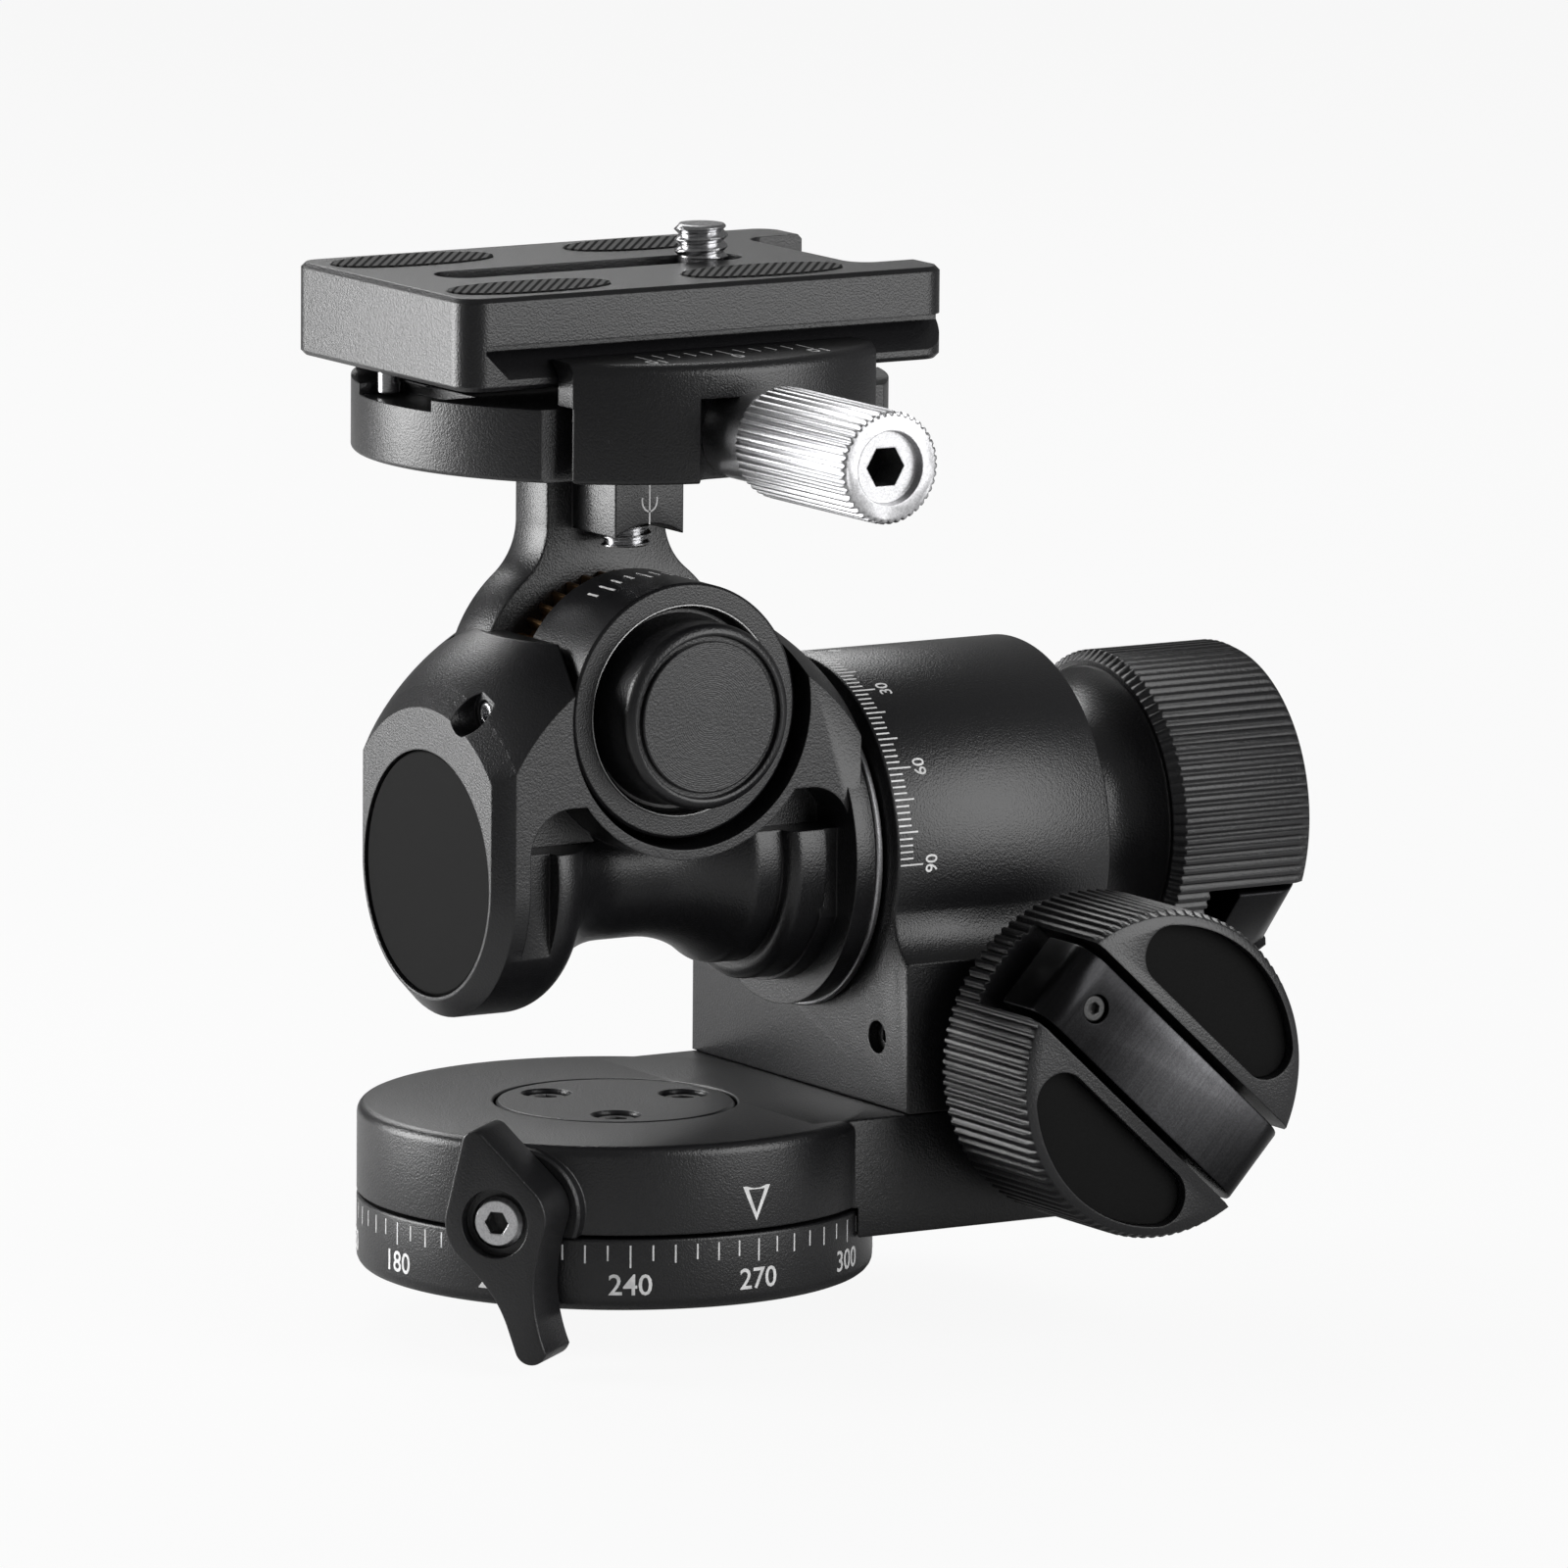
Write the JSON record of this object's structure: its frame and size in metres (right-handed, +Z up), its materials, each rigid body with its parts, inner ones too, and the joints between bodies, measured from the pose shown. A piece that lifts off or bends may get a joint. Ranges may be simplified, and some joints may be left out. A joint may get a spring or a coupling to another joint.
{
  "type": "geared tripod head",
  "caption": "Geared tripod head: dialled pan base with lever lock, offset barrel, tilting yoke driven by two worm knobs, and a round clamp with a dovetail camera plate.",
  "frame": {"origin": "centre of the underside, on the axis of the tripod thread", "axes": "+Z up along the pan axis; +X from the pan axis towards the barrel's rear knob; -Y towards the pan pointer, the clamp knob and the lower knob"},
  "size_m": [0.1187, 0.0905, 0.1263],
  "materials": {
    "black_anodised": "satin black anodised, finely blasted",
    "black_lever": "satin black cast and coated",
    "brushed_black": "brushed, black",
    "silver_alloy": "bright turned and fluted",
    "bright_steel": "bright steel",
    "dark_steel": "blackened steel",
    "bronze": "bronze gear metal",
    "brass": "turned brass",
    "rubber": "ribbed rubber",
    "black_plastic": "smooth black inlay"
  },
  "bodies": {
    "base": {"base_plate": "black_anodised", "dial_ring": "black_anodised", "thread_insert": "bright_steel", "pan_washer": "black_plastic", "spindle_cap": "black_anodised", "cap_screws": "dark_steel"},
    "pan": {"pan_body": "black_anodised", "lock_brake_pad": "bronze", "bracket": "black_anodised", "roll_bush": "brass", "rear_cover": "black_anodised", "lower_bush_front": "brass", "lower_bush_rear": "brass", "bracket_bolts": "dark_steel", "side_screw": "dark_steel"},
    "lock": {"lock_lever": "black_lever", "lock_stud": "dark_steel", "lock_screw": "bright_steel"},
    "yoke": {"yoke_frame": "black_anodised", "adjusting_screw": "bright_steel", "end_disc": "black_plastic", "worm_bush_left": "brass", "worm_bush_right": "brass", "thrust_ring": "silver_alloy", "roll_shaft": "bright_steel", "roll_nut": "dark_steel", "roll_wheel": "bronze", "tilt_pin": "bright_steel"},
    "tilt_worm": {"tilt_worm_shaft": "dark_steel", "rear_knob_neck": "black_anodised", "rear_knob_grip": "black_anodised", "rear_knob_inlays": "black_plastic"},
    "rear_bar": {"rear_release_bar": "brushed_black", "rear_bar_screw": "dark_steel"},
    "roll_worm": {"roll_worm_shaft": "dark_steel", "lower_knob_neck": "black_anodised", "lower_knob_grip": "black_anodised", "lower_knob_inlays": "black_plastic"},
    "lower_bar": {"lower_release_bar": "brushed_black", "lower_bar_screw": "dark_steel"},
    "platform": {"platform_arm": "black_anodised", "tilt_drum": "black_anodised", "tilt_wheel": "bronze", "tilt_cap": "black_anodised", "tilt_cap_disc": "black_anodised", "clamp_body": "black_anodised", "guide_pins": "bright_steel", "clamp_bolt": "bright_steel"},
    "jaw": {"clamp_jaw": "black_anodised"},
    "clamp_grip": {"clamp_knob": "silver_alloy", "clamp_screw": "dark_steel"},
    "plate": {"camera_plate": "black_anodised", "plate_pads": "rubber", "stop_pin": "bright_steel"},
    "camera_bolt": {"camera_screw": "bright_steel"}
  },
  "joints": [
    {"name": "pan_turn", "type": "hinge", "parent": "base", "child": "pan", "pos_m": [0, 0, 0.009], "axis": [0, 0, 1], "continuous": true},
    {"name": "lock_turn", "type": "hinge", "parent": "pan", "child": "lock", "pos_m": [-0.02425, -0.01963, 0.0116], "axis": [-0.7771, -0.6293, 0], "range_deg": [0, 100]},
    {"name": "roll", "type": "hinge", "parent": "pan", "child": "yoke", "pos_m": [0.03, 0, 0.048], "axis": [1, 0, 0], "range_deg": [-90, 90]},
    {"name": "roll_knob_turn", "type": "hinge", "parent": "pan", "child": "roll_worm", "pos_m": [0.0455, 0, 0.0256], "axis": [0, -1, 0], "range_deg": [-3600, 3600]},
    {"name": "lower_bar_press", "type": "slide", "parent": "roll_worm", "child": "lower_bar", "axis": [0, 1, 0], "range_m": [0, 0.003], "stiffness_N_per_m": 200, "springref_m": -0.002},
    {"name": "tilt", "type": "hinge", "parent": "yoke", "child": "platform", "pos_m": [0, 0, 0.0671], "axis": [0, -1, 0], "range_deg": [-30, 30]},
    {"name": "tilt_knob_turn", "type": "hinge", "parent": "yoke", "child": "tilt_worm", "pos_m": [0, 0, 0.048], "axis": [1, 0, 0], "range_deg": [-1200, 1200]},
    {"name": "rear_bar_press", "type": "slide", "parent": "tilt_worm", "child": "rear_bar", "axis": [-1, 0, 0], "range_m": [0, 0.003], "stiffness_N_per_m": 200, "springref_m": -0.002},
    {"name": "jaw_slide", "type": "slide", "parent": "platform", "child": "jaw", "axis": [0, -1, 0], "range_m": [0, 0.003]},
    {"name": "clamp_knob_turn", "type": "hinge", "parent": "jaw", "child": "clamp_grip", "pos_m": [0, -0.03, 0.1009], "axis": [0, -1, 0], "range_deg": [0, 1350.01]},
    {"name": "plate_slide", "type": "slide", "parent": "platform", "child": "plate", "axis": [-1, 0, 0], "range_m": [-0.0022, 0.03]},
    {"name": "camera_screw_turn", "type": "hinge", "parent": "plate", "child": "camera_bolt", "pos_m": [0.0108, 0, 0.117], "axis": [0, 0, 1], "continuous": true}
  ],
  "couplings": [
    {"joint": "roll_knob_turn", "follows": "roll", "ratio": 40},
    {"joint": "tilt_knob_turn", "follows": "tilt", "ratio": -40},
    {"joint": "clamp_knob_turn", "follows": "jaw_slide", "rad_per_m": 7854}
  ]
}
